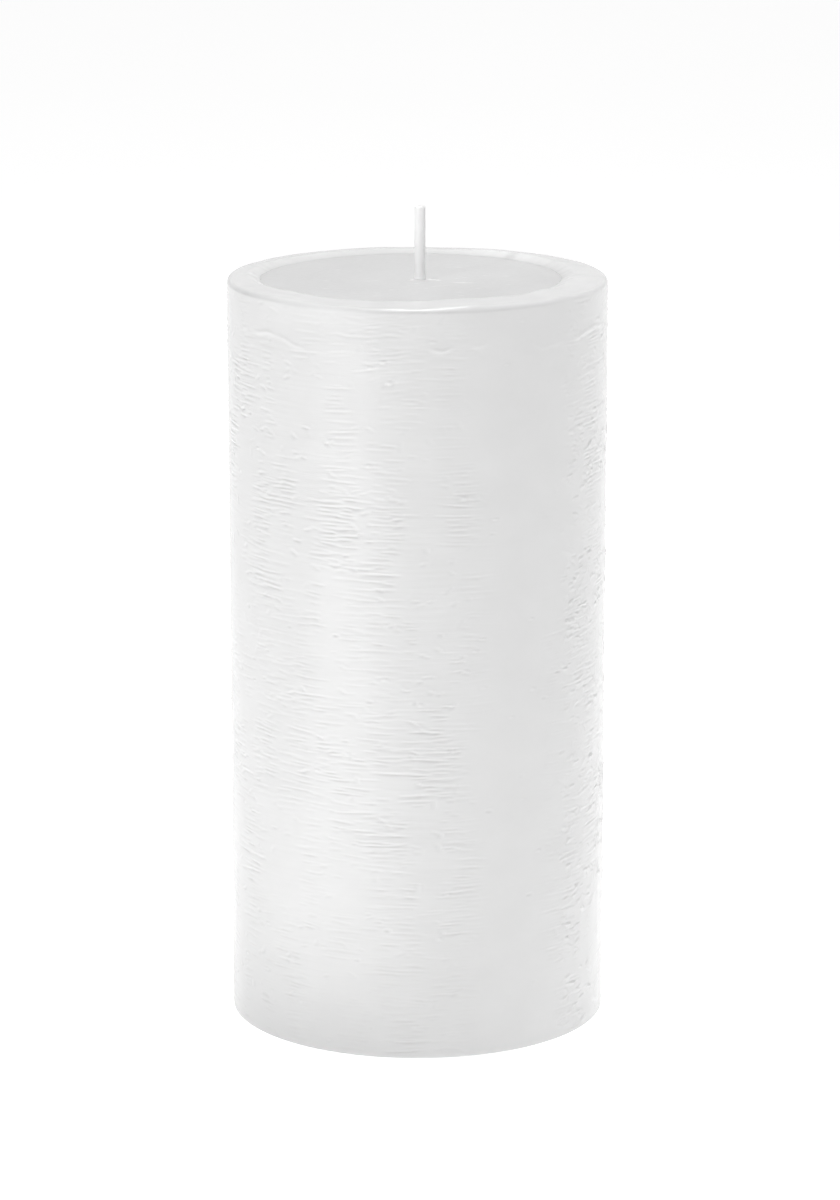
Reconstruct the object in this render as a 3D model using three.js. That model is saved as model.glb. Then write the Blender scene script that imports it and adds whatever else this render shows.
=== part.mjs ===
// Pillar candle of the size and kind lit as a unity candle.
//
// It is built in the order in which such a candle is made. A moulded wax cup is the outer shell.
// The core is poured inside it and sinks into a shallow dish as it cools. A plaited and waxed
// cotton wick runs through the middle and is crimped in a steel clip under the base. A harder
// white coat goes over the side and the rim, where it is brushed while it is warm.
//
// Millimetres, +Z up. The origin is the centre of the base.

import * as THREE from "three";

// ---- Driving dimensions ----

const BODY_DIAMETER = 76.2;
const BODY_HEIGHT = 152.4; // from the rest face to the crest of the rim
const WICK_STAND = 14.05; // tip of the wick above the crest of the rim

const COAT_THICKNESS = 0.7;
const SHELL_WALL = 5.2;
const SHELL_FLOOR = 8;
const LAYER_GAP = 0.05; // seam between two layers of wax
const LIP_LAP = 1.2; // the coat laps this far over the core, inside the rim
const LIP_THICKNESS = 0.15; // at its inner end
const LIP_SLOPE = 1.2; // width of the slope from the rim down to the lip
const LIP_SLOPE_TOP = 0.5; // that slope starts this far below the crest

const EDGE_RADIUS = 1; // rounding of the top edge, on the outside of the coat
const EDGE_DROP = 0.4; // the top edge lies this far below the crest
const CREST_INSET = 4.2; // crest of the rim, inwards from the side
const DISH_DEPTH = 1.1; // floor of the dish below the crest
const BASE_BEVEL = 0.6;

const WICK_DIAMETER = 2.2; // over its wax
const WICK_WAX = 0.2; // thickness of that wax
const WICK_WAX_ROUND = 0.3; // height over which it rounds in at the tip
const BORE_CLEARANCE = 0.15; // around the waxed wick
const MENISCUS_HEIGHT = 0.5; // wax drawn up the wick from the floor of the dish
const MENISCUS_REACH = 2.2;

const STRAND_DIAMETER = 0.52;
const STRAND_COUNT = 3;
const PLAIT_HALF_WIDTH = 0.57;
const PLAIT_HALF_DEPTH = 0.39;
const PLAIT_PITCH = 10; // length in which a strand crosses over and back
const STRAND_SHOW = 0.15; // the strands stand this far out of their wax at the tip
const STRAND_SIDES = 5;
const STEPS_PER_PITCH = 8;

const CLIP_DIAMETER = 20;
const CLIP_SHEET = 0.35;
const CLIP_RECESS = 0.6; // underside of the clip above the rest face
const CLIP_NECK_HEIGHT = 5;
const CLIP_BEAD_RADIUS = 6.5; // stiffening bead pressed into the disc
const CLIP_BEAD_HALF_WIDTH = 0.8;
const CLIP_BEAD_HEIGHT = 0.45;
const CLIP_NECK_BEND = 0.5; // where the neck rises from the disc
const CLIP_CLEARANCE = 0.4; // between the clip and the wax around it

const ROUND_SEGMENTS = 60;
const CLIP_SEGMENTS = 30;
const WICK_SEGMENTS = 20;
const EDGE_STEPS = 3;

// ---- Derived dimensions ----

const bodyRadius = BODY_DIAMETER / 2;
const shellRadius = bodyRadius - COAT_THICKNESS;
const wallInside = shellRadius - SHELL_WALL;
const shellTop = BODY_HEIGHT - EDGE_DROP - COAT_THICKNESS;
const edgeCentreRadius = bodyRadius - EDGE_RADIUS;
const edgeCentreHeight = BODY_HEIGHT - EDGE_DROP - EDGE_RADIUS;
const dishFloor = BODY_HEIGHT - DISH_DEPTH;
const wickRadius = WICK_DIAMETER / 2;
const wickTop = BODY_HEIGHT + WICK_STAND;
const wickWaxTop = wickTop - STRAND_SHOW;
const wickBottom = CLIP_RECESS + CLIP_SHEET;
const strandBottom = wickBottom + LAYER_GAP;
const boreRadius = wickRadius + BORE_CLEARANCE;
const neckRadius = boreRadius + CLIP_SHEET;
const recessRadius = CLIP_DIAMETER / 2 + CLIP_CLEARANCE;
const recessTop = CLIP_RECESS + CLIP_SHEET + CLIP_BEAD_HEIGHT + CLIP_CLEARANCE;

// ---- Shape helpers ----

// Turns a list of [radius, height] points about the Z axis. The list closes on itself and runs
// anticlockwise when the radius is drawn to the right.
function turned(profile, segments) {
  const points = profile.map(([radius, height]) => new THREE.Vector2(radius, height));
  points.push(points[0].clone());
  const geometry = new THREE.LatheGeometry(points, segments);
  geometry.rotateX(Math.PI / 2);
  return geometry;
}

// Points of a quarter circle about [centreRadius, centreHeight], from the side up to the top.
function quarterRound(centreRadius, centreHeight, radius) {
  const points = [];
  for (let step = 0; step <= EDGE_STEPS; step += 1) {
    const angle = (Math.PI / 2) * (step / EDGE_STEPS);
    points.push([centreRadius + radius * Math.cos(angle), centreHeight + radius * Math.sin(angle)]);
  }
  return points;
}

function makePart(name, geometry, color, roughness, metalness = 0) {
  const material = new THREE.MeshStandardMaterial({ color, roughness, metalness });
  const mesh = new THREE.Mesh(geometry, material);
  mesh.name = name;
  return mesh;
}

// ---- Sub-parts ----

// Hard outer skin over the side and the rim. It thins out to a lip that laps over the core.
function brushedCoat() {
  const innerRadius = shellRadius + LAYER_GAP;
  const innerEdgeRadius = EDGE_RADIUS - COAT_THICKNESS + LAYER_GAP;
  const lipRadius = wallInside - LIP_LAP;
  const underRim = shellTop + LAYER_GAP;
  const outside = quarterRound(edgeCentreRadius, edgeCentreHeight, EDGE_RADIUS);
  const inside = quarterRound(edgeCentreRadius, edgeCentreHeight, innerEdgeRadius).reverse();
  const profile = [
    [innerRadius, BASE_BEVEL],
    [bodyRadius - COAT_THICKNESS / 2, BASE_BEVEL],
    [bodyRadius, BASE_BEVEL + COAT_THICKNESS],
    ...outside,
    [bodyRadius - CREST_INSET, BODY_HEIGHT],
    [lipRadius + LIP_SLOPE, BODY_HEIGHT - LIP_SLOPE_TOP],
    [lipRadius, underRim + LIP_THICKNESS],
    [lipRadius, underRim],
    ...inside,
  ];
  return makePart("brushed_coat", turned(profile, ROUND_SEGMENTS), 0xf3f3f1, 0.42);
}

// Moulded cup: a wall and a floor, with a hole for the wick and a recess for its clip.
function outerShell() {
  const neckHole = neckRadius + CLIP_CLEARANCE / 2;
  const profile = [
    [recessRadius, 0],
    [shellRadius - BASE_BEVEL, 0],
    [shellRadius, BASE_BEVEL],
    ...quarterRound(edgeCentreRadius, edgeCentreHeight, EDGE_RADIUS - COAT_THICKNESS),
    [wallInside, shellTop],
    [wallInside, SHELL_FLOOR],
    [neckHole, SHELL_FLOOR],
    [neckHole, recessTop],
    [recessRadius, recessTop],
  ];
  return makePart("outer_shell", turned(profile, ROUND_SEGMENTS), 0xeeeeec, 0.5);
}

// Second pour. Its top is the shallow dish, with a little wax drawn up around the wick.
function coreFill() {
  const radius = wallInside - LAYER_GAP;
  const profile = [
    [boreRadius, SHELL_FLOOR + LAYER_GAP],
    [radius, SHELL_FLOOR + LAYER_GAP],
    [radius, dishFloor],
    [boreRadius + MENISCUS_REACH, dishFloor],
    [boreRadius + MENISCUS_REACH / 2, dishFloor + MENISCUS_HEIGHT / 5],
    [boreRadius, dishFloor + MENISCUS_HEIGHT],
  ];
  return makePart("core_fill", turned(profile, ROUND_SEGMENTS), 0xe9e9e6, 0.35);
}

// Priming wax over the plait: a thin tube that rounds in at the tip, where the strands show.
function wickWaxCoat() {
  const inside = wickRadius - WICK_WAX;
  const profile = [
    [inside, wickBottom],
    [wickRadius, wickBottom],
    [wickRadius, wickWaxTop - WICK_WAX_ROUND],
    [wickRadius - WICK_WAX / 2, wickWaxTop],
    [inside, wickWaxTop],
  ];
  return makePart("wick_wax_coat", turned(profile, WICK_SEGMENTS), 0xf6f5f1, 0.4);
}

// Centre line of one strand of a three-strand flat plait.
class StrandCurve extends THREE.Curve {
  constructor(index) {
    super();
    this.phase = (2 * Math.PI * index) / STRAND_COUNT;
  }

  getPoint(fraction, target = new THREE.Vector3()) {
    const height = strandBottom + fraction * (wickTop - strandBottom);
    const angle = (2 * Math.PI * height) / PLAIT_PITCH + this.phase;
    const across = PLAIT_HALF_WIDTH * Math.sin(angle);
    const depth = PLAIT_HALF_DEPTH * Math.sin(2 * angle);
    return target.set(across, depth, height);
  }
}

// One cotton strand of the plait.
function wickStrand(index) {
  const section = new THREE.Shape();
  for (let side = 0; side < STRAND_SIDES; side += 1) {
    const angle = (2 * Math.PI * side) / STRAND_SIDES;
    const x = (STRAND_DIAMETER / 2) * Math.cos(angle);
    const y = (STRAND_DIAMETER / 2) * Math.sin(angle);
    if (side === 0) section.moveTo(x, y);
    else section.lineTo(x, y);
  }
  section.closePath();
  const pitches = (wickTop - strandBottom) / PLAIT_PITCH;
  const geometry = new THREE.ExtrudeGeometry(section, {
    steps: Math.round(pitches * STEPS_PER_PITCH),
    extrudePath: new StrandCurve(index),
  });
  return makePart(`wick_strand_${index + 1}`, geometry, 0xf1efe6, 0.9);
}

// Steel clip pressed from one sheet: a beaded disc and a neck that is crimped around the wick.
function wickClip() {
  const low = CLIP_RECESS;
  const high = CLIP_RECESS + CLIP_SHEET;
  const outside = CLIP_DIAMETER / 2;
  const beadInside = CLIP_BEAD_RADIUS - CLIP_BEAD_HALF_WIDTH;
  const beadOutside = CLIP_BEAD_RADIUS + CLIP_BEAD_HALF_WIDTH;
  const profile = [
    [boreRadius, low],
    [beadInside, low],
    [CLIP_BEAD_RADIUS, low + CLIP_BEAD_HEIGHT],
    [beadOutside, low],
    [outside, low],
    [outside, high],
    [beadOutside, high],
    [CLIP_BEAD_RADIUS, high + CLIP_BEAD_HEIGHT],
    [beadInside, high],
    [neckRadius + CLIP_NECK_BEND, high],
    [neckRadius, high + CLIP_NECK_BEND],
    [neckRadius, high + CLIP_NECK_HEIGHT],
    [boreRadius, high + CLIP_NECK_HEIGHT],
  ];
  return makePart("wick_clip", turned(profile, CLIP_SEGMENTS), 0xb9bcc0, 0.35, 1);
}

// ---- Assembly ----

const candle = new THREE.Group();
candle.add(brushedCoat(), outerShell(), coreFill(), wickWaxCoat(), wickClip());
for (let index = 0; index < STRAND_COUNT; index += 1) {
  candle.add(wickStrand(index));
}

export default candle;
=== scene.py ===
"""Looks of a white pillar candle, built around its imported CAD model.

Shapes are worked out in millimetres and written to the meshes in metres, in the CAD model's frame:
+Z up, the origin at the centre of the base, -Y towards the viewer.
"""

import math

import bpy
import numpy as np
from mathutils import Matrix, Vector


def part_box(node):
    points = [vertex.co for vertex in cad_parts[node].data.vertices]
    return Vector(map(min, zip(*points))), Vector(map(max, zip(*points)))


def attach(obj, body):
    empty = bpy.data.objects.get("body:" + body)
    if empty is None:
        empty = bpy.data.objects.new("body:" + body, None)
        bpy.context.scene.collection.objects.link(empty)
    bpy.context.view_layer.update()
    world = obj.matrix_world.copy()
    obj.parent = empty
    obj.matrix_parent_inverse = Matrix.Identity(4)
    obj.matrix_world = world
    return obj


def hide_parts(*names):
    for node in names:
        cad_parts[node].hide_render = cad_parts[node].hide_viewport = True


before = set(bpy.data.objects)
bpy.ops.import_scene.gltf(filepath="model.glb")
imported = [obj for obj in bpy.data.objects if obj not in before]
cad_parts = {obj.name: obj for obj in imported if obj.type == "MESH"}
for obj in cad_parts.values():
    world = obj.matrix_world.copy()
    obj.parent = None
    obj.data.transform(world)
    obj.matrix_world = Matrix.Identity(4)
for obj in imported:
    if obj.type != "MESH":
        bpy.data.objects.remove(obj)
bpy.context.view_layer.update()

MM = 0.001


def box_mm(node):
    """Lowest and highest corner of a CAD node, in millimetres."""
    low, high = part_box(node)
    return np.array(low) / MM, np.array(high) / MM


# ---- Sizes read from the CAD model, in millimetres ----

_, coat_high = box_mm("brushed_coat")
_, shell_high = box_mm("outer_shell")
core_low, core_high = box_mm("core_fill")
wick_low, wick_high = box_mm("wick_wax_coat")
clip_low, clip_high = box_mm("wick_clip")
strand_low, strand_high = box_mm("wick_strand_1")

BODY_RADIUS = coat_high[0]
BODY_TOP = coat_high[2]
SHELL_RADIUS = shell_high[0]
CORE_RADIUS = core_high[0]
WICK_RADIUS = wick_high[0]
CLIP_RADIUS = clip_high[0]

# ---- Sizes that the CAD model has too, but that its boxes don't show ----

EDGE_RADIUS = 1.0  # rounding of the top edge
EDGE_TOP = BODY_TOP - 0.4
DISH_FLOOR = BODY_TOP - 1.1
WICK_WAX = 0.2  # thickness of the wax around the plait
PLAIT_HALF_WIDTH = 0.57
PLAIT_HALF_DEPTH = 0.39
PLAIT_PITCH = 10
CLIP_SHEET = 0.35
CLIP_BEAD_RADIUS = 6.5
CLIP_BEAD_HEIGHT = 0.45
CLIP_CLEARANCE = 0.4

# ---- Brushed coat ----

COLUMNS = 512  # points round it
ROW_PITCH = 0.18  # height of a row on its side
DEEPEST = 0.10  # of the brush's grooves
COAT_INSIDE = SHELL_RADIUS + 0.08  # radius of its back
FOOT_ROUND = 0.4
SIDE_START = 0.12 + FOOT_ROUND
SIDE_END = EDGE_TOP - EDGE_RADIUS
RIM_ROWS = 34
LIP_WIDTH = 3.4  # over which the rim falls away to the dish
LIP_SINK = 0.06  # the coat ends this far below the floor of the dish

TOUCHES = 680  # of the brush
SCUFFS = 1300
CURLS = 800  # raised scuffs in one sector, which the coat's material paints whiter as a painted highlight
CURL_SECTOR = (-41, 4)  # in degrees from +X
CHIPS = 170
SMOOTH_ANGLE = -59  # the brush hardly marked the wax about here, in degrees from +X
SMOOTH_HALF = 17
RIDGE_DROP = 6.88  # of the ridge below the top of the side, on average
RIDGE_HEIGHT = 0.07
RIDGE_WIDTH = 0.28

# ---- Other pieces ----

CORE_COLUMNS = 288
SHELL_COLUMNS = 192
WICK_COLUMNS = 40
STRAND_COLUMNS = 15
CLIP_COLUMNS = 120
WICK_LEAN = 0.5  # the wick comes out this far to the right of the middle
WICK_ROW = 0.16  # height of a row where the wick shows
YARN_TURN = 1.6  # height in which the three yarns of a strand turn once

# Crumbs of wax on the floor of the dish: x, y, size and height.
CRUMBS = [
    (2.0, -0.5, 0.5, 0.24),
    (2.9, -0.2, 0.4, 0.16),
    (3.7, -0.6, 0.45, 0.18),
    (-1.7, -0.9, 0.5, 0.16),
    (7.6, -3.0, 0.7, 0.10),
    (9.0, -3.4, 0.8, 0.12),
    (10.6, -3.7, 0.6, 0.08),
]
FAINT_CRUMBS = 26

rng = np.random.default_rng(20)


# ---- Mesh helpers ----


def ring_quads(rows, columns, bands):
    """Corners and UVs of the quads in the first so many bands between rings."""
    row = np.arange(bands)[:, None]
    column = np.arange(columns)[None, :]
    next_row = (row + 1) % rows
    next_column = (column + 1) % columns
    corners = (
        row * columns + column,
        row * columns + next_column,
        next_row * columns + next_column,
        next_row * columns + column,
    )
    quads = np.stack(corners, axis=-1).reshape(-1, 4)
    u = (column + np.array([0, 1, 1, 0])[:, None, None]) / columns
    v = (row + np.array([0, 0, 1, 1])[:, None, None]) / bands
    u, v = np.broadcast_arrays(u, v)
    uvs = np.stack([u, v], axis=-1).transpose(1, 2, 0, 3).reshape(-1, 2)
    return quads.tolist(), uvs


def end_fans(rows, columns):
    """Triangles and UVs that close both ends about two points, which follow the ring points."""
    low_centre = rows * columns
    top_row = (rows - 1) * columns
    triangles, uvs = [], []
    for j in range(columns):
        k = (j + 1) % columns
        triangles.append([low_centre, k, j])
        triangles.append([low_centre + 1, top_row + j, top_row + k])
        uvs += [(0.5, 0.0)] * 3 + [(0.5, 1.0)] * 3
    return triangles, uvs


def ring_mesh(name, rings, capped=False, attributes=None):
    """A closed mesh through rings of points.

    rings has the shape (rows, columns, 3), in millimetres. The columns run anticlockwise seen from
    above, and the rows run up the outside. The last row joins the first one, or, when capped, each
    end is closed with a fan. attributes maps a name to one value per ring point.
    """
    rows, columns, _ = rings.shape
    points = rings.reshape(-1, 3)
    faces, uvs = ring_quads(rows, columns, rows - 1 if capped else rows)
    if capped:
        points = np.vstack([points, rings[0].mean(axis=0), rings[-1].mean(axis=0)])
        fans, fan_uvs = end_fans(rows, columns)
        faces += fans
        uvs = np.vstack([uvs, fan_uvs])
    mesh = bpy.data.meshes.new(name)
    mesh.from_pydata((points * MM).tolist(), [], faces)
    mesh.polygons.foreach_set("use_smooth", np.ones(len(faces), dtype=bool))
    layer = mesh.uv_layers.new(name="OFBake")
    layer.data.foreach_set("uv", uvs.astype(np.float32).ravel())
    for key, values in (attributes or {}).items():
        stored = mesh.attributes.new(key, "FLOAT", "POINT")
        padded = np.zeros(len(points), dtype=np.float32)
        padded[: values.size] = values.ravel()
        stored.data.foreach_set("value", padded)
    mesh.update()
    piece = bpy.data.objects.new(name, mesh)
    bpy.context.scene.collection.objects.link(piece)
    return piece


def place(piece, nodes, material):
    """Makes piece stand for CAD nodes and its material."""
    piece.data.materials.append(material)
    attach(piece, "root")
    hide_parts(*nodes)


def ring_angles(columns):
    return np.linspace(0, 2 * np.pi, columns, endpoint=False)


def turned_rings(profile, columns):
    """Rings of a plain turned shape. profile is a list of (radius, height)."""
    angle = ring_angles(columns)
    radius = np.array([p[0] for p in profile])[:, None]
    height = np.array([p[1] for p in profile])[:, None]
    return np.stack([radius * np.cos(angle), radius * np.sin(angle), height + 0 * angle], axis=-1)


def arc(centre, radius, start, end, steps):
    """Points of an arc in a (radius, height) profile. Angles are in degrees."""
    angles = np.radians(np.linspace(start, end, steps))
    return [(centre[0] + radius * math.cos(a), centre[1] + radius * math.sin(a)) for a in angles]


def smoothstep(x):
    x = np.clip(x, 0, 1)
    return x * x * (3 - 2 * x)


def soft_noise(shape, pitch, size):
    """Smooth noise of unit spread that wraps round in both directions.

    pitch is the spacing of rows and columns, and size the size of a feature along each, in mm.
    """
    spectrum = np.fft.rfft2(rng.standard_normal(shape))
    row_wave = np.fft.fftfreq(shape[0], pitch[0])[:, None] * size[0]
    column_wave = np.fft.rfftfreq(shape[1], pitch[1])[None, :] * size[1]
    spectrum *= np.exp(-2 * np.pi**2 * (row_wave**2 + column_wave**2))
    spectrum[0, 0] = 0
    field = np.fft.irfft2(spectrum, shape)
    return field / field.std()


def ring_noise(size):
    """Smooth noise of unit spread round the coat. size is that of a feature, in mm."""
    pitch = 2 * np.pi * BODY_RADIUS / COLUMNS
    return soft_noise((2, COLUMNS), (1.0, pitch), (0.0, size))[0]


# ---- Marks in the side of the coat ----
#
# A field holds one height per point of the side, with rows from the foot up and columns round from
# +X. pitch is the spacing of both, in mm. A place is (height, distance round), also in mm.


def field_size(field, pitch):
    return field.shape[0] * pitch[0], field.shape[1] * pitch[1]


def value_at(field, pitch, centre):
    rows, columns = field.shape
    return field[min(rows - 1, int(centre[0] / pitch[0])), int(centre[1] / pitch[1]) % columns]


def stamp(field, pitch, centre, reach, shape):
    """Adds shape(along, up) to the part of field within reach of centre. Columns wrap round."""
    rows, columns = field.shape
    first_row = max(0, int((centre[0] - reach[0]) / pitch[0]))
    last_row = min(rows, int((centre[0] + reach[0]) / pitch[0]) + 2)
    if last_row <= first_row:
        return
    first_column = int((centre[1] - reach[1]) / pitch[1])
    last_column = int((centre[1] + reach[1]) / pitch[1]) + 2
    row = np.arange(first_row, last_row)
    column = np.arange(first_column, last_column)
    up = (row * pitch[0] - centre[0])[:, None]
    along = (column * pitch[1] - centre[1])[None, :]
    field[np.ix_(row, column % columns)] += shape(along, up)


def brush_stroke(field, pitch, centre, length, width, depth, tilt, bend):
    """One groove with a burr above it, as a bristle leaves in warm wax."""
    cos_tilt, sin_tilt = math.cos(tilt), math.sin(tilt)

    def shape(along, up):
        s = along * cos_tilt + up * sin_tilt
        t = up * cos_tilt - along * sin_tilt - bend * s**2
        taper = np.clip(1 - (2 * s / length) ** 2, 0, 1) ** 0.8
        groove = -np.exp(-0.5 * (t / width) ** 2)
        burr = 0.7 * np.exp(-0.5 * ((t - 1.8 * width) / (0.8 * width)) ** 2)
        return depth * taper * (groove + burr)

    half = length / 2
    up_reach = half * abs(sin_tilt) + abs(bend) * half**2 + 5 * width
    along_reach = half * abs(cos_tilt) + 5 * width * abs(sin_tilt) + pitch[1]
    stamp(field, pitch, centre, (up_reach, along_reach), shape)


def chip(field, pitch, centre, size, depth):
    """A small pit with a raised lip, or, with a negative depth, a crumb of wax."""

    def shape(along, up):
        q = np.sqrt((along / size[1]) ** 2 + (up / size[0]) ** 2)
        return depth * (-np.exp(-(q**2)) + 0.35 * np.exp(-(((q - 1.7) / 0.5) ** 2)))

    stamp(field, pitch, centre, (3 * size[0], 3 * size[1]), shape)


def brush_touches(strokes, pitch, rough, count):
    """Patches of nearly level grooves, each left by one touch of the brush."""
    height, around = field_size(strokes, pitch)
    for _ in range(count):
        middle = rng.uniform(0, height)
        across = rng.uniform(0, around)
        tall = rng.uniform(5, 20)
        reach = rng.uniform(3.5, 9.5)
        lean = rng.normal(0, 0.045)
        force = rng.uniform(0.5, 1.0)
        up = middle - tall / 2
        while up < middle + tall / 2:
            up += rng.uniform(0.6, 2.2)
            centre = (up, across + rng.normal(0, 0.13) * reach)
            if not 0 <= up < height:
                continue
            length = max(1.5, reach * rng.uniform(0.3, 1.1))
            width = rng.uniform(0.11, 0.22)
            depth = DEEPEST * force * rng.uniform(0.35, 1.0) * value_at(rough, pitch, centre)
            tilt = lean + rng.normal(0, 0.03)
            brush_stroke(strokes, pitch, centre, length, width, depth, tilt, rng.normal(0, 0.006))


def scuffs(strokes, pitch, rough, count, sector=(0, 360), force=1.0):
    """Short curled marks at any angle, raised ones when force is negative.

    sector limits them to a part of the round, in degrees.
    """
    height, around = field_size(strokes, pitch)
    for _ in range(count):
        centre = (rng.uniform(0, height), around * (rng.uniform(*sector) / 360 % 1))
        length = rng.uniform(0.8, 2.6)
        width = rng.uniform(0.14, 0.26)
        depth = DEEPEST * force * rng.uniform(0.5, 1.2) * value_at(rough, pitch, centre)
        tilt = rng.normal(0, 0.7)
        brush_stroke(strokes, pitch, centre, length, width, depth, tilt, rng.normal(0, 0.15))


def chips_and_crumbs(strokes, pitch, count):
    """Small pits, and twice as many small crumbs."""
    height, around = field_size(strokes, pitch)
    for _ in range(count):
        centre = (rng.uniform(0, height), rng.uniform(0, around))
        size = (rng.uniform(0.2, 0.36), rng.uniform(0.35, 0.5))
        chip(strokes, pitch, centre, size, rng.choice([1, -1, -1]) * rng.uniform(0.05, 0.13))


def brushing(shape, pitch):
    """How strongly the brush marked each point, 0 to 1: in patches, and hardly in one sector."""
    patches = soft_noise(shape, pitch, (6, 6)) + 0.5 * soft_noise(shape, pitch, (2.5, 5))
    rough = 0.45 + 0.55 * smoothstep(0.55 + 0.5 * patches)
    from_smooth = np.angle(np.exp(1j * (ring_angles(COLUMNS) - math.radians(SMOOTH_ANGLE))))
    return rough * (1 - 0.97 * np.exp(-((from_smooth / math.radians(SMOOTH_HALF)) ** 4)))


def side_relief(rows, pitch):
    """Three fields of the side: its height above a plain cylinder, how far its marks stand out
    (-1 to 1), which the material paints as shade where they sink and as highlight where they
    stand out, and how strongly it is brushed."""
    shape = (rows, COLUMNS)
    rough = brushing(shape, pitch)
    strokes = np.zeros(shape)
    brush_touches(strokes, pitch, rough, TOUCHES)
    scuffs(strokes, pitch, rough, SCUFFS)
    scuffs(strokes, pitch, rough, CURLS, CURL_SECTOR, -1.5)
    chips_and_crumbs(strokes, pitch, CHIPS)
    streaks = 0.004 * rough * soft_noise(shape, pitch, (0.2, 2.2))
    waves = 0.03 * soft_noise(shape, pitch, (9, 11)) + 0.02 * soft_noise(shape, pitch, (2.0, 4.0))

    # The end of the dip shows as an uneven ridge a little below the rim. The material paints the
    # ridge whiter, a painted highlight.
    z = (np.arange(rows) * pitch[0])[:, None]
    line = SIDE_END - SIDE_START - RIDGE_DROP + 0.8 * ring_noise(6) + 0.35 * ring_noise(1.4)
    strength = np.clip(1.1 * ring_noise(1.6) - 0.1, 0.0, 1.6)
    above = smoothstep((z - line) / 0.5 + 0.5)
    ridge = RIDGE_HEIGHT * strength * np.exp(-0.5 * ((z - line) / RIDGE_WIDTH) ** 2)
    calm = 1 - 0.35 * above
    detail = (strokes + streaks) * calm + ridge
    return waves + 0.015 * above + detail, np.clip(detail / DEEPEST, -1, 1), rough * calm


# ---- Coat ----


class CoatRows:
    """Rows of the coat's surface. A row holds one value per column, or the same one in all."""

    def __init__(self):
        self.radius, self.height = [], []
        self.relief, self.thin, self.brushed = [], [], []

    def add(self, radius, height, relief=0.0, thin=0.0, brushed=0.3):
        self.radius.append(radius + np.zeros(COLUMNS))
        self.height.append(height + np.zeros(COLUMNS))
        self.relief.append(relief + np.zeros(COLUMNS))
        self.thin.append(thin + np.zeros(COLUMNS))
        self.brushed.append(brushed + np.zeros(COLUMNS))

    def rings(self):
        angle = ring_angles(COLUMNS)
        radius, height = np.array(self.radius), np.array(self.height)
        return np.stack([radius * np.cos(angle), radius * np.sin(angle), height], axis=-1)

    def looks(self):
        """What the material reads: marks, which it paints as shade where they sink and as highlight
        where they stand out, thin wax at the lip, and strength of the brushing.
        """
        return {
            "relief": np.array(self.relief),
            "thin": np.array(self.thin),
            "brushed": np.array(self.brushed),
        }


def rim_inside(angle):
    """Radius at which the coat ends in the dish, which lies a little to the back and the left."""
    return 29.5 - 1.0 * np.cos(angle) + 1.7 * np.sin(angle)


def add_foot(rows, relief, detail):
    """Rounded foot. The marks fade in up it."""
    foot = arc((BODY_RADIUS - FOOT_ROUND, SIDE_START), FOOT_ROUND, -150, 0, 9)
    for k, (radius, height) in enumerate(foot[:-1]):
        fade = k / len(foot)
        rows.add(np.maximum(radius + relief * fade, COAT_INSIDE), height, detail * fade)


def add_edge(rows, uneven, relief, detail):
    """Rounded top edge, with a rolled bead in places."""
    bead = 0.06 * np.clip(ring_noise(4), 0, 1.5)
    for degrees in range(9, 91, 9):
        a = math.radians(degrees)
        fade = math.cos(a)
        round_radius = EDGE_RADIUS + bead * math.sin(2 * a) ** 2
        radius = BODY_RADIUS - EDGE_RADIUS + round_radius * math.cos(a) + relief * fade
        height = SIDE_END + round_radius * math.sin(a) + uneven * (1 - fade)
        rows.add(radius, height, detail * fade)


def add_rim(rows, uneven, column_pitch):
    """Rim: it rises to a crest, then falls away softly to the dish. Returns where it ends."""
    start = BODY_RADIUS - EDGE_RADIUS
    end = rim_inside(ring_angles(COLUMNS)) + 0.25 * ring_noise(7) + 0.1 * ring_noise(2)
    end = np.minimum(end + 0.06 * ring_noise(0.7), CORE_RADIUS - 0.6)
    crest = BODY_TOP - EDGE_TOP + 0.05 * ring_noise(12)
    swell = soft_noise((RIM_ROWS + 1, COLUMNS), (0.2, column_pitch), (0.9, 4))
    depth = BODY_TOP - DISH_FLOOR + LIP_SINK
    for k in range(1, RIM_ROWS + 1):
        t = k / RIM_ROWS
        radius = start + (end - start) * t
        rise = crest * np.sin(np.pi * np.clip(t * 1.1, 0, 1) / 2)
        fall = smoothstep(1 - (radius - end) / LIP_WIDTH)
        height = EDGE_TOP + uneven + rise - (depth + uneven) * fall
        # The ripple also goes into the marks, so the material paints shade in the rim's hollows and
        # highlight on its swells.
        ripple = swell[k] * (1 - fall)
        rows.add(radius, height + 0.025 * ripple, 0.25 * ripple, fall**3)
    return end


def add_back(rows, rim_end):
    """The lip dives under the core's surface, so that no edge shows. The rest is out of sight."""
    rows.add(rim_end - 0.2, DISH_FLOOR - 0.12, thin=1.0)
    rows.add(rim_end - 0.4, DISH_FLOOR - 0.25, thin=1.0)
    rows.add(rim_end + 0.1, DISH_FLOOR - 0.4)
    rows.add(CORE_RADIUS + 1, DISH_FLOOR - 0.45)
    rows.add(COAT_INSIDE - 0.5, DISH_FLOOR - 0.45)
    rows.add(COAT_INSIDE, DISH_FLOOR - 1.0)
    rows.add(COAT_INSIDE, BODY_TOP / 2)
    rows.add(COAT_INSIDE, SIDE_START + 0.5)


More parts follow.
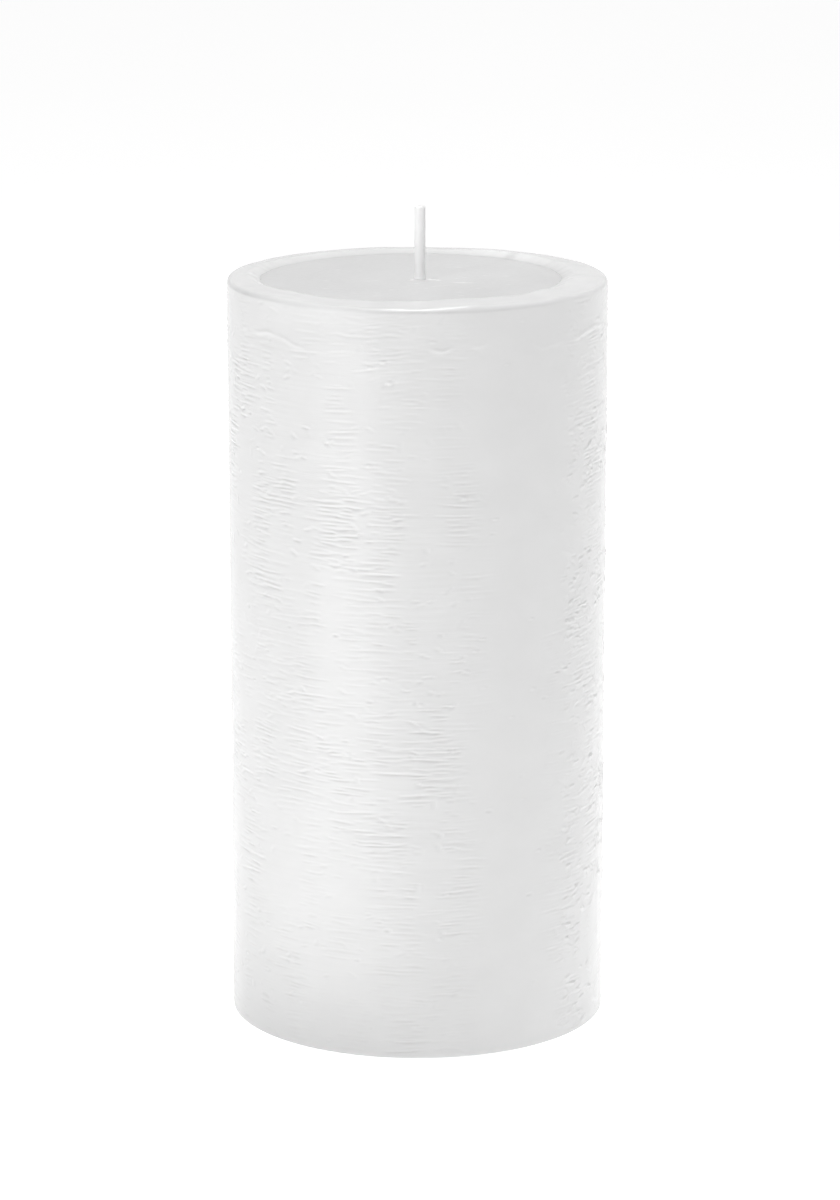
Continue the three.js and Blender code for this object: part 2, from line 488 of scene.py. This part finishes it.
def brushed_coat(material):
    """Coat over the side, the rounded edge and the rim, with a soft lip into the dish."""
    bands = int((SIDE_END - SIDE_START) / ROW_PITCH)
    pitch = ((SIDE_END - SIDE_START) / bands, 2 * np.pi * BODY_RADIUS / COLUMNS)
    relief, detail, brushed = side_relief(bands + 1, pitch)
    rows = CoatRows()
    add_foot(rows, relief[0], detail[0])
    for k in range(bands + 1):
        rows.add(BODY_RADIUS + relief[k], SIDE_START + k * pitch[0], detail[k], brushed=brushed[k])
    uneven = 0.12 * ring_noise(9) + 0.06 * ring_noise(2.0)
    add_edge(rows, uneven, relief[bands], detail[bands])
    rim_end = add_rim(rows, uneven, pitch[1])
    add_back(rows, rim_end)
    piece = ring_mesh("coat_skin", rows.rings(), attributes=rows.looks())
    place(piece, ["brushed_coat"], material)


# ---- Core, with the floor of the dish ----


def wick_lean(height):
    """The wick leans a little to the right inside the candle, and comes out off its middle."""
    return WICK_LEAN * np.clip((height - core_low[2]) / (DISH_FLOOR - core_low[2]), 0, 1)


def dish_floor(radius, angle, bore):
    """Height of the floor of the dish without its crumbs."""
    x, y = radius * np.cos(angle), radius * np.sin(angle)
    lobes = 1 + 0.25 * np.sin(angle - 0.4) + 0.2 * np.sin(3 * angle)
    climb = 0.4 * np.exp(-(radius - bore) / 0.7) * lobes
    sink = -0.10 * np.exp(-0.5 * ((radius - 5) / 3.5) ** 2)
    sway = 0.03 * np.sin(x * 0.23 + 1) * np.cos(y * 0.31) + 0.02 * np.sin(x * 0.6 - y * 0.45)
    sway *= smoothstep((CORE_RADIUS - radius) / 8)
    return DISH_FLOOR + climb + sink + sway


def add_crumbs(height, white, x, y):
    """Adds crumbs of wax to the floor's height, and paints them whiter: whiter wax that is also
    partly a painted highlight.
    """
    faint = [(float(a), float(b), 0.5, 0.05) for a, b in rng.uniform(-20, 20, (FAINT_CRUMBS, 2))]
    for crumb_x, crumb_y, size, crumb_height in CRUMBS + faint:
        q = ((x - crumb_x) / size) ** 2 + ((y - crumb_y) / (size * 0.8)) ** 2
        height += crumb_height * np.exp(-q)
        white += crumb_height / 0.16 * np.exp(-q)


def core_wax(material):
    """Wax inside the shell. Its top is the smooth floor, with crumbs of wax about the wick."""
    angle = ring_angles(CORE_COLUMNS)
    bore = WICK_RADIUS + 0.02
    near = bore + 0.12 * np.arange(0, 60)
    far = np.linspace(near[-1], CORE_RADIUS, 60)[1:]
    radius = np.repeat(np.concatenate([near, far])[:, None], CORE_COLUMNS, axis=1)
    x, y = radius * np.cos(angle), radius * np.sin(angle)
    height = dish_floor(radius, angle, bore)
    # Painted highlight: a narrow ring of whiter colour where the wax climbs round the foot of the
    # wick.
    white = 0.8 * np.exp(-((radius - bore) / 0.5))
    add_crumbs(height, white, x, y)
    under_rim = smoothstep((radius - rim_inside(angle) - 1.4) / 0.9)
    height -= 0.8 * under_rim
    shift = wick_lean(DISH_FLOOR) * smoothstep(1.2 - radius / 12)
    top = np.stack([x + shift, y, height], axis=-1)[::-1]
    wall_profile = [(bore, core_low[2]), (CORE_RADIUS, core_low[2]), (CORE_RADIUS, BODY_TOP / 2)]
    wall = turned_rings(wall_profile, CORE_COLUMNS)
    rings = np.concatenate([wall, top], axis=0)
    # The crumb attribute carries the whiter crumbs and the painted highlight round the wick's foot.
    crumbs = np.concatenate([np.zeros(wall.shape[:2]), np.clip(white, 0, 1)[::-1]], axis=0)
    piece = ring_mesh("core_wax", rings, attributes={"crumb": crumbs})
    place(piece, ["core_fill"], material)


# ---- Shell: the wall in the middle and the underside ----


def shell_body(material):
    recess_radius = CLIP_RADIUS + CLIP_CLEARANCE
    recess_top = 1.8
    seam = 0.05
    neck_hole = 1.9
    wall_inside = CORE_RADIUS + seam
    floor_top = core_low[2] - seam
    profile = [(recess_radius, recess_top)]
    profile += arc((recess_radius + 0.35, 0.35), 0.35, 180, 270, 6)
    profile += [(r, 0.0) for r in np.linspace(CLIP_RADIUS + 1, SHELL_RADIUS - 0.5, 60)]
    profile += arc((SHELL_RADIUS - 0.3, 0.3), 0.3, -90, 0, 6)
    profile += [(SHELL_RADIUS, BODY_TOP / 2), (SHELL_RADIUS, DISH_FLOOR - 1.2)]
    profile += [(SHELL_RADIUS - 1, DISH_FLOOR - 0.5), (wall_inside, DISH_FLOOR - 0.5)]
    profile += [(wall_inside, floor_top), (neck_hole, floor_top), (neck_hole, recess_top)]
    piece = ring_mesh("shell_wax", turned_rings(profile, SHELL_COLUMNS))
    place(piece, ["outer_shell"], material)


# ---- Wick ----


def waxed_wick(material):
    """Wax around the plait: a little uneven, wider at its foot, and nearly closed at its tip."""
    angle = ring_angles(WICK_COLUMNS)
    top = wick_high[2]
    shown = np.arange(DISH_FLOOR - 0.6, top - 0.45, WICK_ROW)
    buried = np.linspace(wick_low[2], DISH_FLOOR - 1, 12)
    heights = np.concatenate([buried, shown])
    z = heights[:, None]
    bore = WICK_RADIUS - WICK_WAX
    flare = 0.16 * np.exp(-np.clip(z - DISH_FLOOR, 0, None) / 0.7)
    weave = 0.012 * np.sin(2 * np.pi * z / 3.3 + 2.4 * np.abs(np.sin(angle)))
    lumps = 0.014 * soft_noise((len(heights), WICK_COLUMNS), (WICK_ROW, 0.17), (1.4, 0.8))
    radius = WICK_RADIUS + flare + weave + lumps
    outer = np.stack([radius * np.cos(angle), radius * np.sin(angle), z + 0 * angle], axis=-1)
    tip = [
        (WICK_RADIUS - 0.02, top - 0.34),
        (WICK_RADIUS - 0.08, top - 0.16),
        (WICK_RADIUS - 0.2, top - 0.04),
        (bore - 0.12, top),
        (bore - 0.42, top - 0.01),
        (bore - 0.6, top - 0.1),
    ]
    inner = [(bore, top - 0.6), (bore, DISH_FLOOR), (bore, wick_low[2])]
    rings = np.concatenate([outer, turned_rings(tip + inner, WICK_COLUMNS)], axis=0)
    rings[:, :, 0] += wick_lean(rings[:, :, 2])
    piece = ring_mesh("wick_wax", rings)
    place(piece, ["wick_wax_coat"], material)


def wick_strand(index, material):
    """One strand of the plait, twisted from three yarns."""
    z = np.arange(strand_low[2] + 0.05, strand_high[2] - 0.1, 0.25)
    turn = 2 * np.pi * z / PLAIT_PITCH + 2 * np.pi * index / 3
    across = PLAIT_HALF_WIDTH * np.sin(turn) + wick_lean(z)
    path = np.stack([across, PLAIT_HALF_DEPTH * np.sin(2 * turn), z], axis=-1)
    ahead = np.gradient(path, axis=0)
    ahead /= np.linalg.norm(ahead, axis=1)[:, None]
    side = np.cross(ahead, [0, 1, 0])
    side /= np.linalg.norm(side, axis=1)[:, None]
    front = np.cross(ahead, side)
    angle = ring_angles(STRAND_COLUMNS)[None, :]
    radius = 0.235 * (1 + 0.12 * np.cos(3 * angle - 2 * np.pi * z[:, None] / YARN_TURN))
    ring = (radius * np.cos(angle))[:, :, None] * side[:, None, :]
    ring = ring + (radius * np.sin(angle))[:, :, None] * front[:, None, :]
    piece = ring_mesh(f"cotton_strand_{index + 1}", path[:, None, :] + ring, capped=True)
    place(piece, [f"wick_strand_{index + 1}"], material)


# ---- Clip under the base ----


def clip_bead(surface, start, end):
    """Profile of the round bead in the clip's disc, from start to end (-1 is its inner side)."""
    return [
        (CLIP_BEAD_RADIUS + 0.9 * s, surface + CLIP_BEAD_HEIGHT * math.cos(s * math.pi / 2) ** 2)
        for s in np.linspace(start, end, 9)
    ]


def wick_clip(material):
    low = clip_low[2]
    high = low + CLIP_SHEET
    half = CLIP_SHEET / 2
    neck_inside = 1.25
    under = arc((neck_inside + 0.5, low + 0.5), 0.5, 180, 270, 6)
    under += [(5.4, low)] + clip_bead(low, -1, 1) + [(9.2, low)]
    rim = arc((CLIP_RADIUS - half, low + half), half, -90, 90, 7)
    over = clip_bead(high, 1, -1) + [(2.1, high), (1.65, high + 0.5)]
    neck_end = [(1.62, clip_high[2]), (neck_inside, clip_high[2])]
    piece = ring_mesh("clip_steel", turned_rings(under + rim + over + neck_end, CLIP_COLUMNS))
    place(piece, ["wick_clip"], material)


# ---- Material helpers ----


def add_node(tree, kind, inputs=None, **settings):
    """A shader node. An input is a value, or the socket that it is linked to."""
    node = tree.nodes.new(kind)
    for key, value in settings.items():
        setattr(node, key, value)
    for key, value in (inputs or {}).items():
        if isinstance(value, bpy.types.NodeSocket):
            tree.links.new(value, node.inputs[key])
        else:
            node.inputs[key].default_value = value
    return node


def attribute(tree, name):
    return add_node(tree, "ShaderNodeAttribute", attribute_name=name).outputs["Fac"]


def noise(tree, where, scale, detail=3.0, roughness=0.5):
    """Noise over object coordinates, with a scale per axis in features per metre."""
    stretch = add_node(tree, "ShaderNodeMapping", {"Vector": where, "Scale": scale}).outputs[0]
    inputs = {"Vector": stretch, "Scale": 1.0, "Detail": detail, "Roughness": roughness}
    return add_node(tree, "ShaderNodeTexNoise", inputs).outputs[0]


def between(tree, value, low, high, start=0.3, end=0.7):
    """Maps value from start..end to low..high, held at both ends."""
    inputs = {"Value": value, "From Min": start, "From Max": end, "To Min": low, "To Max": high}
    return add_node(tree, "ShaderNodeMapRange", inputs).outputs[0]


def grey(brightness):
    return (brightness, brightness, brightness)


def shades(tree, value, stops):
    """A colour ramp. stops is a list of (position, colour)."""
    ramp = add_node(tree, "ShaderNodeValToRGB", {0: value})
    elements = ramp.color_ramp.elements
    for k, (position, colour) in enumerate(stops):
        element = elements[k] if k < 2 else elements.new(position)
        element.position = position
        element.color = (*colour, 1.0)
    return ramp.outputs[0]


def mixed(tree, factor, colour, other):
    """colour where factor is 0, and other, a plain colour, where it is 1."""
    inputs = {"Factor": factor, "A": colour, "B": (*other, 1.0)}
    return add_node(tree, "ShaderNodeMix", inputs, data_type="RGBA").outputs["Result"]


def bump(tree, height, distance, below=None, strength=1.0):
    inputs = {"Height": height, "Distance": distance, "Strength": strength}
    if below is not None:
        inputs["Normal"] = below
    return add_node(tree, "ShaderNodeBump", inputs).outputs[0]


def start_material(name, **values):
    """A material with a Principled shader, whose uniform values are set on its own sockets."""
    material = bpy.data.materials.new(name)
    material.use_nodes = True
    tree = material.node_tree
    shader = tree.nodes["Principled BSDF"]
    for key, value in values.items():
        shader.inputs[key.replace("_", " ")].default_value = value
    where = add_node(tree, "ShaderNodeTexCoord").outputs["Object"]
    return material, tree, shader, where


# ---- Materials ----


def coat_wax_material():
    """Hard white wax, brushed level: satin, with painted shade in the grooves and painted highlight
    on the burrs, curls and ridge.

    Its roughness stays below 0.27. Above that the denoiser is told of the gloss in another way, and
    patches show where the roughness crosses over.
    """
    material, tree, shader, where = start_material(
        "coat_wax",
        IOR=1.5,
        Specular_IOR_Level=0.8,
        Subsurface_Weight=0.35,
        Subsurface_Radius=(1.0, 1.0, 1.0),
        Subsurface_Scale=0.0004,
        Anisotropic=0.5,
        Anisotropic_Rotation=0.25,
    )
    cloud = noise(tree, where, (110, 110, 160), 4)
    streak = noise(tree, where, (140, 140, 3200), 4, 0.6)
    grain = noise(tree, where, (1500, 1500, 6500), 2)
    # Painted shade and highlight: the colour is darker where the marks sink and whiter where they
    # stand out.
    painted_shade_and_highlight = between(tree, attribute(tree, "relief"), 0.08, 0.68, -1, 1)
    terms = {0: cloud, 1: 0.5, 2: painted_shade_and_highlight}
    cloud_tone_and_painted_light = add_node(tree, "ShaderNodeMath", terms, operation="MULTIPLY_ADD").outputs[0]
    # The ramp's tone is a random cloud plus that painted shade and highlight.
    colour = shades(tree, cloud_tone_and_painted_light, [(0.3, grey(0.80)), (1.0, grey(0.87)), (0.62, grey(0.83))])
    colour = mixed(tree, attribute(tree, "thin"), colour, grey(0.70))
    tree.links.new(colour, shader.inputs["Base Color"])
    tree.links.new(between(tree, streak, 0.215, 0.265), shader.inputs["Roughness"])
    fine = bump(tree, grain, 0.000005)
    brushed = bump(tree, streak, 0.00002, fine, attribute(tree, "brushed"))
    tree.links.new(brushed, shader.inputs["Normal"])
    return material


def plain_wax_material(name, tones, roughness, ripple, depth=0.5):
    """Unbrushed wax: cloudy colour and gloss over a faint uneven surface, with whiter crumbs that
    are partly a painted highlight, and a painted highlight round the foot of the wick.

    tones and roughness are each a low and a high value, and ripple is the depth of the unevenness.
    """
    material, tree, shader, where = start_material(
        name,
        IOR=1.44,
        Subsurface_Weight=depth,
        Subsurface_Radius=(1.0, 1.0, 1.0),
        Subsurface_Scale=0.0025,
    )
    cloud = noise(tree, where, (70, 70, 70), 4)
    speck = noise(tree, where, (900, 900, 900), 3, 0.6)
    colour = shades(tree, cloud, [(0.3, grey(tones[0])), (0.7, grey(tones[1]))])
    # Whiter where the crumb attribute says: on the crumbs, partly a painted highlight, and in the
    # painted highlight round the wick's foot.
    colour = mixed(tree, attribute(tree, "crumb"), colour, grey(0.96))
    tree.links.new(colour, shader.inputs["Base Color"])
    tree.links.new(between(tree, speck, *roughness), shader.inputs["Roughness"])
    tree.links.new(bump(tree, speck, ripple), shader.inputs["Normal"])
    return material


def cotton_material():
    material, tree, shader, where = start_material("wick_cotton", Roughness=0.9, Sheen_Weight=0.3)
    fibre = noise(tree, where, (3000, 3000, 9000), 3)
    colour = shades(tree, fibre, [(0.3, (0.70, 0.69, 0.64)), (0.7, (0.86, 0.85, 0.81))])
    tree.links.new(colour, shader.inputs["Base Color"])
    tree.links.new(bump(tree, fibre, 0.00004), shader.inputs["Normal"])
    return material


def clip_material():
    material, tree, shader, where = start_material("clip_steel", Metallic=1.0)
    stain = noise(tree, where, (260, 260, 260), 4)
    rolled = noise(tree, where, (150, 5200, 150), 3)
    colour = shades(tree, stain, [(0.3, (0.52, 0.53, 0.55)), (0.7, (0.66, 0.67, 0.69))])
    tree.links.new(colour, shader.inputs["Base Color"])
    tree.links.new(between(tree, rolled, 0.29, 0.42), shader.inputs["Roughness"])
    tree.links.new(bump(tree, rolled, 0.00001), shader.inputs["Normal"])
    return material


# ---- Setting ----

FLOOR_REACH = 6.0  # metres
FLOOR_GLOW = 0.46
WALL = 0.66  # brightness of the white walls
ROOM = 0.02  # that of the dark room
ROOF = 0.64
ROOF_EDGES = (0.5, 0.7)  # heights, as sines, between which the walls pass into the roof
ROOM_AZIMUTH = -38  # the dark room is centred here
ROOM_EDGES = (88, 112)  # angles from there between which it passes into the walls
KEY_AZIMUTH = -42
WICK_LIGHT_AZIMUTH = -36
CAMERA_PLACE = (0.0005, -0.950, 0.3134)
CAMERA_PITCH = 13.50  # degrees below level
CAMERA_LENS = 144.0
SENSOR = 36.0


def floor():
    """Plain pale floor, large enough to fill the picture. It glows a little, as a lit table does."""
    material, tree, shader, where = start_material(
        "floor_paper",
        Roughness=0.9,
        Emission_Strength=FLOOR_GLOW,
        Emission_Color=(1, 1, 1, 1),
    )
    cloud = noise(tree, where, (3, 3, 3), 2)
    colour = shades(tree, cloud, [(0.3, grey(0.955)), (0.7, grey(0.965))])
    tree.links.new(colour, shader.inputs["Base Color"])
    mesh = bpy.data.meshes.new("floor")
    signs = [(-1, -1), (1, -1), (1, 1), (-1, 1)]
    corners = [(x * FLOOR_REACH, y * FLOOR_REACH, 0) for x, y in signs]
    mesh.from_pydata(corners, [], [(0, 1, 2, 3)])
    mesh.materials.append(material)
    sheet = bpy.data.objects.new("floor", mesh)
    bpy.context.scene.collection.objects.link(sheet)


def toward(azimuth, elevation=0.0):
    """Unit vector to a place round the candle. Azimuth 0 is at the viewer and 90 to the right."""
    a, e = math.radians(azimuth), math.radians(elevation)
    return Vector((math.sin(a) * math.cos(e), -math.cos(a) * math.cos(e), math.sin(e)))


def add_lamp(light, direction, distance, aim):
    """Puts a light out from aim, facing it. direction is a unit vector, and distance in metres."""
    lamp = bpy.data.objects.new(light.name, light)
    bpy.context.scene.collection.objects.link(lamp)
    lamp.location = Vector(aim) + direction * distance
    lamp.rotation_euler = direction.to_track_quat("Z", "Y").to_euler()
    return lamp


def softbox(name, direction, distance, size, radiance, aim=(0, 0, 0.08)):
    """An evenly lit panel that the camera doesn't see. size is its width and height, in metres."""
    light = bpy.data.lights.new(name, "AREA")
    light.shape = "RECTANGLE"
    light.size, light.size_y = size
    light.energy = radiance * math.pi * size[0] * size[1]
    panel = add_lamp(light, direction, distance, aim)
    panel.visible_camera = False
    return panel


def table_strip(name, distance, size, radiance):
    """A panel that lies on the table, front left, and shows as a soft stripe in the glossy side."""
    strip = softbox(name, toward(KEY_AZIMUTH), distance, size, radiance, aim=(0, 0, 0.002))
    strip.rotation_euler = (math.pi, 0, math.radians(KEY_AZIMUTH))


def wick_spot(power):
    """Narrow light that brightens the left of the wick and the far part of the rim."""
    light = bpy.data.lights.new("wick_spot", "SPOT")
    light.spot_size = math.radians(2.6)
    light.spot_blend = 1.0
    light.shadow_soft_size = 0.012
    light.energy = power
    below_tip = (0, 0, (wick_high[2] - 5) * MM)
    add_lamp(light, toward(WICK_LIGHT_AZIMUTH, 12), 0.8, below_tip)


def lights():
    softbox("key", toward(KEY_AZIMUTH, 25), 0.80, (0.46, 0.14), 2.9)
    softbox("front", toward(0, 62), 1.20, (0.60, 0.60), 0.7)
    softbox("top", toward(0, 90), 0.70, (0.30, 0.30), 6.6)
    softbox("edge_right", toward(122, 20), 0.80, (0.42, 0.40), 0.3)
    table_strip("near_strip", 0.18, (0.14, 0.22), 0.6)
    table_strip("far_strip", 0.54, (0.34, 0.50), 1.3)
    wick_spot(10.0)


def wall_brightness(tree, direction):
    """White walls to the right and behind, a dark room at the front and left, a bright roof."""
    flat = {0: direction, 1: (1, 1, 0)}
    level = add_node(tree, "ShaderNodeVectorMath", flat, operation="MULTIPLY").outputs[0]
    level = add_node(tree, "ShaderNodeVectorMath", {0: level}, operation="NORMALIZE").outputs[0]
    to_room = {0: level, 1: toward(ROOM_AZIMUTH)}
    facing = add_node(tree, "ShaderNodeVectorMath", to_room, operation="DOT_PRODUCT")
    room_edge, wall_edge = (math.cos(math.radians(angle)) for angle in ROOM_EDGES)
    walls = between(tree, facing.outputs["Value"], WALL, ROOM, wall_edge, room_edge)
    height = add_node(tree, "ShaderNodeSeparateXYZ", {0: direction}).outputs["Z"]
    is_roof = between(tree, height, 0.0, 1.0, *ROOF_EDGES)
    blend = {"Factor": is_roof, "A": walls, "B": ROOF}
    return add_node(tree, "ShaderNodeMix", blend).outputs["Result"]


def surroundings():
    """Studio around the candle. The camera itself sees plain white."""
    world = bpy.data.worlds.new("studio")
    world.use_nodes = True
    bpy.context.scene.world = world
    tree = world.node_tree
    background = tree.nodes["Background"]
    direction = add_node(tree, "ShaderNodeTexCoord").outputs["Generated"]
    seen = add_node(tree, "ShaderNodeLightPath").outputs["Is Camera Ray"]
    terms = {0: seen, 1: wall_brightness(tree, direction)}
    strength = add_node(tree, "ShaderNodeMath", terms, operation="MAXIMUM").outputs[0]
    tree.links.new(strength, background.inputs["Strength"])
    background.inputs["Color"].default_value = (1, 1, 1, 1)


def camera():
    """Looks slightly down at the candle with a long lens."""
    data = bpy.data.cameras.new("camera")
    data.sensor_width = SENSOR
    data.lens = CAMERA_LENS
    eye = bpy.data.objects.new("camera", data)
    eye.location = CAMERA_PLACE
    eye.rotation_euler = (math.radians(90 - CAMERA_PITCH), 0, 0)
    bpy.context.scene.collection.objects.link(eye)
    bpy.context.scene.camera = eye


# ---- Build ----

camera()
floor()
surroundings()
lights()
bpy.context.scene.view_settings.view_transform = "Standard"

brushed_coat(coat_wax_material())
core_wax(plain_wax_material("core_wax", (0.675, 0.71), (0.30, 0.42), 0.000012))
shell_body(plain_wax_material("shell_wax", (0.80, 0.85), (0.40, 0.55), 0.00003))
waxed_wick(plain_wax_material("wick_wax", (0.93, 0.96), (0.28, 0.40), 0.00002, depth=0.0))
wick_clip(clip_material())
cotton = cotton_material()
for strand_index in range(3):
    wick_strand(strand_index, cotton)
